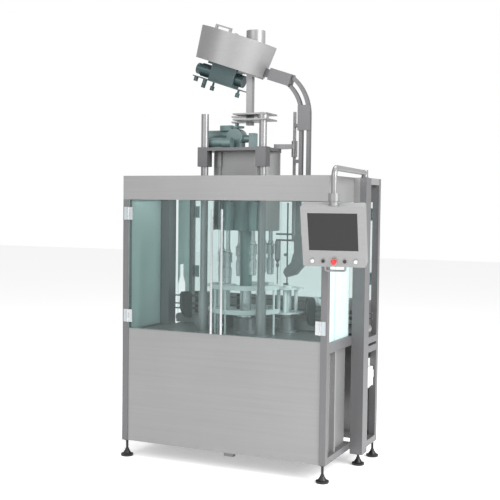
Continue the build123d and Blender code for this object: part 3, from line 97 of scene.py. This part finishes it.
def make_floor():
    """A pale floor that keeps the object's shadow and fades into the background."""
    mesh = bpy.data.meshes.new("floor")
    reach = 30
    mesh.from_pydata([(-reach, -reach, 0), (reach, -reach, 0), (reach, reach, 0),
                      (-reach, reach, 0)], [], [(0, 1, 2, 3)])
    floor = bpy.data.objects.new("floor", mesh)
    floor.location = (0, 0, -0.001)
    bpy.context.scene.collection.objects.link(floor)
    mat = bpy.data.materials.new("floor_paint")
    mat.use_nodes = True
    tree = mat.node_tree
    tree.nodes.clear()
    paint = tree.nodes.new("ShaderNodeBsdfDiffuse")
    paint.inputs["Color"].default_value = (0.9, 0.9, 0.9, 1)
    glow = tree.nodes.new("ShaderNodeEmission")
    glow.inputs["Color"].default_value = (1, 1, 1, 1)
    glow.inputs["Strength"].default_value = 0.42
    shown = tree.nodes.new("ShaderNodeAddShader")
    tree.links.new(paint.outputs[0], shown.inputs[0])
    tree.links.new(glow.outputs[0], shown.inputs[1])
    mix = tree.nodes.new("ShaderNodeMixShader")
    rays = ["Is Camera Ray", "Is Transmission Ray", "Is Glossy Ray"]
    tree.links.new(any_ray(tree, rays), mix.inputs[0])
    tree.links.new(paint.outputs[0], mix.inputs[1])
    tree.links.new(shown.outputs[0], mix.inputs[2])
    out = tree.nodes.new("ShaderNodeOutputMaterial")
    tree.links.new(mix.outputs[0], out.inputs[0])
    mesh.materials.append(mat)


# Materials

def plain(name, color, metallic=0.0, roughness=0.4, coat=0.0, grain=None, grain_size=60,
          shade=0.06, bump=0.08, bump_size=0.0005):
    """A Principled material whose colour, roughness and relief vary with a fine noise.

    grain stretches the noise, so that (1, 1, 0.02) is brushed upright."""
    mat = bpy.data.materials.new(name)
    mat.use_nodes = True
    tree = mat.node_tree
    shader = tree.nodes["Principled BSDF"]
    shader.inputs["Metallic"].default_value = metallic
    shader.inputs["Coat Weight"].default_value = coat
    shader.inputs["Coat Roughness"].default_value = 0.12
    place = tree.nodes.new("ShaderNodeTexCoord")
    mapping = tree.nodes.new("ShaderNodeMapping")
    mapping.inputs["Scale"].default_value = grain or (1, 1, 1)
    tree.links.new(place.outputs["Object"], mapping.inputs["Vector"])
    noise = tree.nodes.new("ShaderNodeTexNoise")
    noise.inputs["Scale"].default_value = grain_size
    noise.inputs["Detail"].default_value = 4
    tree.links.new(mapping.outputs[0], noise.inputs["Vector"])
    cloud = tree.nodes.new("ShaderNodeTexNoise")
    cloud.inputs["Scale"].default_value = 1.7
    cloud.inputs["Detail"].default_value = 3
    tree.links.new(place.outputs["Object"], cloud.inputs["Vector"])
    both = tree.nodes.new("ShaderNodeMath")
    both.operation = "MULTIPLY_ADD"
    both.inputs[1].default_value = 0.5
    tree.links.new(noise.outputs["Fac"], both.inputs[0])
    half = tree.nodes.new("ShaderNodeMath")
    half.operation = "MULTIPLY"
    half.inputs[1].default_value = 0.5
    tree.links.new(cloud.outputs["Fac"], half.inputs[0])
    tree.links.new(half.outputs[0], both.inputs[2])
    ramp = tree.nodes.new("ShaderNodeValToRGB")
    ramp.color_ramp.elements[0].position = 0.3
    ramp.color_ramp.elements[1].position = 0.7
    for element, way in zip(ramp.color_ramp.elements, (-1, 1)):
        element.color = tuple(min(1, c * (1 + way * shade)) for c in color) + (1,)
    tree.links.new(both.outputs[0], ramp.inputs[0])
    tree.links.new(ramp.outputs[0], shader.inputs["Base Color"])
    rough = tree.nodes.new("ShaderNodeMapRange")
    rough.inputs["From Min"].default_value = 0.3
    rough.inputs["From Max"].default_value = 0.7
    rough.inputs["To Min"].default_value = max(0.03, roughness - 0.06)
    rough.inputs["To Max"].default_value = min(1, roughness + 0.06)
    tree.links.new(both.outputs[0], rough.inputs["Value"])
    tree.links.new(rough.outputs[0], shader.inputs["Roughness"])
    relief = tree.nodes.new("ShaderNodeBump")
    relief.inputs["Strength"].default_value = bump
    relief.inputs["Distance"].default_value = bump_size
    tree.links.new(noise.outputs["Fac"], relief.inputs["Height"])
    tree.links.new(relief.outputs[0], shader.inputs["Normal"])
    return mat


def glass_pane(name, tint):
    """Clear safety glass: what is behind it shows, a little tinted, under a thin gloss."""
    mat = bpy.data.materials.new(name)
    mat.use_nodes = True
    tree = mat.node_tree
    tree.nodes.clear()
    clear = tree.nodes.new("ShaderNodeBsdfTransparent")
    clear.inputs["Color"].default_value = tint + (1,)
    gloss = tree.nodes.new("ShaderNodeBsdfPrincipled")
    gloss.inputs["Base Color"].default_value = (0.80, 0.90, 0.89, 1)
    gloss.inputs["Roughness"].default_value = 0.06
    dust = tree.nodes.new("ShaderNodeTexNoise")
    dust.inputs["Scale"].default_value = 3.0
    dust.inputs["Detail"].default_value = 6
    amount = tree.nodes.new("ShaderNodeMapRange")
    amount.inputs["To Min"].default_value = 0.0
    amount.inputs["To Max"].default_value = 0.05
    tree.links.new(dust.outputs["Fac"], amount.inputs["Value"])
    facing = tree.nodes.new("ShaderNodeFresnel")
    facing.inputs["IOR"].default_value = 1.3
    total = tree.nodes.new("ShaderNodeMath")
    total.operation = "ADD"
    tree.links.new(facing.outputs[0], total.inputs[0])
    tree.links.new(amount.outputs[0], total.inputs[1])
    mix = tree.nodes.new("ShaderNodeMixShader")
    tree.links.new(total.outputs[0], mix.inputs[0])
    tree.links.new(clear.outputs[0], mix.inputs[1])
    tree.links.new(gloss.outputs[0], mix.inputs[2])
    out = tree.nodes.new("ShaderNodeOutputMaterial")
    tree.links.new(mix.outputs[0], out.inputs[0])
    return mat


UPRIGHT = (1, 1, 0.02)
LEVEL = (0.02, 1, 1)

frame_steel = plain("frame_steel", (0.17, 0.17, 0.175), 0.35, 0.42, grain=UPRIGHT)
panel_steel = plain("panel_steel", (0.30, 0.30, 0.30), 0.35, 0.42, grain=LEVEL)
deck_steel = plain("deck_steel", (0.15, 0.155, 0.155), 0.35, 0.35, grain=LEVEL)
machine_steel = plain("machine_steel", (0.27, 0.27, 0.275), 0.45, 0.36, grain=UPRIGHT)
dark_steel = plain("dark_steel", (0.14, 0.14, 0.145), 0.45, 0.38)
bright_steel = plain("bright_steel", (0.62, 0.64, 0.65), 0.75, 0.22, grain=UPRIGHT)
pale_sleeve = plain("pale_sleeve", (0.66, 0.74, 0.74), 0.30, 0.22, coat=0.3)
teal_paint = plain("teal_paint", (0.16, 0.235, 0.235), 0.15, 0.34, coat=0.2, grain_size=200)
dark_teal = plain("dark_teal", (0.045, 0.085, 0.09), 0.15, 0.34, coat=0.2, grain_size=200)
white_plastic = plain("white_plastic", (0.66, 0.70, 0.70), 0.0, 0.38, grain_size=220)
white_paint = plain("white_paint", (0.78, 0.79, 0.79), 0.0, 0.35, grain_size=220)
black_plastic = plain("black_plastic", (0.014, 0.014, 0.015), 0.0, 0.40, grain_size=300,
                      shade=0.2, bump=0.15)
black_gloss = plain("black_gloss", (0.006, 0.006, 0.007), 0.0, 0.12, shade=0.2, bump=0.0)
hinge_metal = plain("hinge_metal", (0.50, 0.55, 0.57), 0.45, 0.34, grain=UPRIGHT)
red_plastic = plain("red_plastic", (0.72, 0.012, 0.012), 0.0, 0.22, coat=0.4, grain_size=250)
button_white = plain("button_white", (0.80, 0.80, 0.79), 0.0, 0.20, coat=0.4, grain_size=250)
brass = plain("brass", (0.55, 0.38, 0.10), 0.9, 0.28, grain_size=120)
dark_red = plain("dark_red", (0.10, 0.012, 0.012), 0.1, 0.40, grain_size=200)
amber = plain("amber", (0.72, 0.47, 0.28), 0.1, 0.35, grain_size=200)
leaf_green = plain("leaf_green", (0.015, 0.075, 0.025), 0.1, 0.35, grain_size=200)
pane = glass_pane("pane", (0.885, 0.935, 0.930))
pane_edge = plain("pane_edge", (0.55, 0.72, 0.70), 0.0, 0.15, coat=0.5)

NODE_MATERIALS = {
    "base_frame": frame_steel, "guard_posts": frame_steel, "portal_columns": frame_steel,
    "top_fascia": panel_steel, "levelling_feet": black_plastic, "front_panel": panel_steel,
    "side_panels": panel_steel, "rear_panels": panel_steel, "deck_plate": deck_steel,
    "side_glass": pane, "hinge_plates": hinge_metal, "guide_columns": machine_steel,
    "shaft_bearings": machine_steel, "star_guides": white_plastic, "base_drive": teal_paint,
    "air_unit": white_paint, "conveyor_frame": machine_steel, "conveyor_chain": machine_steel,
    "guide_rails": dark_steel, "rail_brackets": black_plastic,
    "front_left_door": pane, "front_left_fittings": bright_steel,
    "front_right_door": pane, "front_right_fittings": bright_steel,
    "rear_left_door": pane, "rear_left_fittings": hinge_metal,
    "rear_right_door": pane, "rear_right_fittings": hinge_metal,
    "turret_stars": white_plastic, "turret_column": bright_steel,
    "infeed_star": white_plastic, "outfeed_star": white_plastic,
    "infeed_screw": white_plastic, "conveyor_roller": machine_steel,
    "head_plate": dark_steel, "housing": panel_steel, "lift_drive": teal_paint,
    "chute_stay": machine_steel, "sorter_support": machine_steel, "sorter_bowl": panel_steel,
    "sorter_drive": dark_teal, "cap_chute": dark_steel, "cap_dispenser": dark_steel,
    "sorter_lid": panel_steel, "sorter_disc": white_plastic, "capping_rotor": teal_paint,
    "hmi_arm": machine_steel, "hmi_panel": panel_steel, "hmi_screen": black_gloss,
    "button_1": button_white, "button_2": black_plastic, "button_3": black_plastic,
    "button_4": button_white, "stop_button": red_plastic,
}


def dress(node, *materials):
    """Give a CAD node its materials, the first one on every face."""
    mesh = nodes[node].data
    mesh.materials.clear()
    for material in materials:
        mesh.materials.append(material)
    for face in mesh.polygons:
        face.material_index = 0


def paint_where(node, index, test):
    """Give the faces of a CAD node whose middle passes a test its material of that index."""
    for face in nodes[node].data.polygons:
        if test(face.center):
            face.material_index = index


def dress_nodes():
    for node in nodes:
        if node.startswith("capping_head"):
            dress(node, bright_steel)
        else:
            dress(node, NODE_MATERIALS[node])


bpy.context.scene.view_settings.view_transform = "Standard"
set_camera()
set_world(0.55)
make_floor()
lamp("key", (6.5, -2.0, 4.5), (0, 0, 1.6), 4.0, 620)
lamp("front", (-1.5, -8.0, 5.0), (0, 0, 1.6), 5.0, 300)
lamp("top", (0.5, 1.0, 7.5), (0, 0, 1.5), 4.0, 200)
dress_nodes()
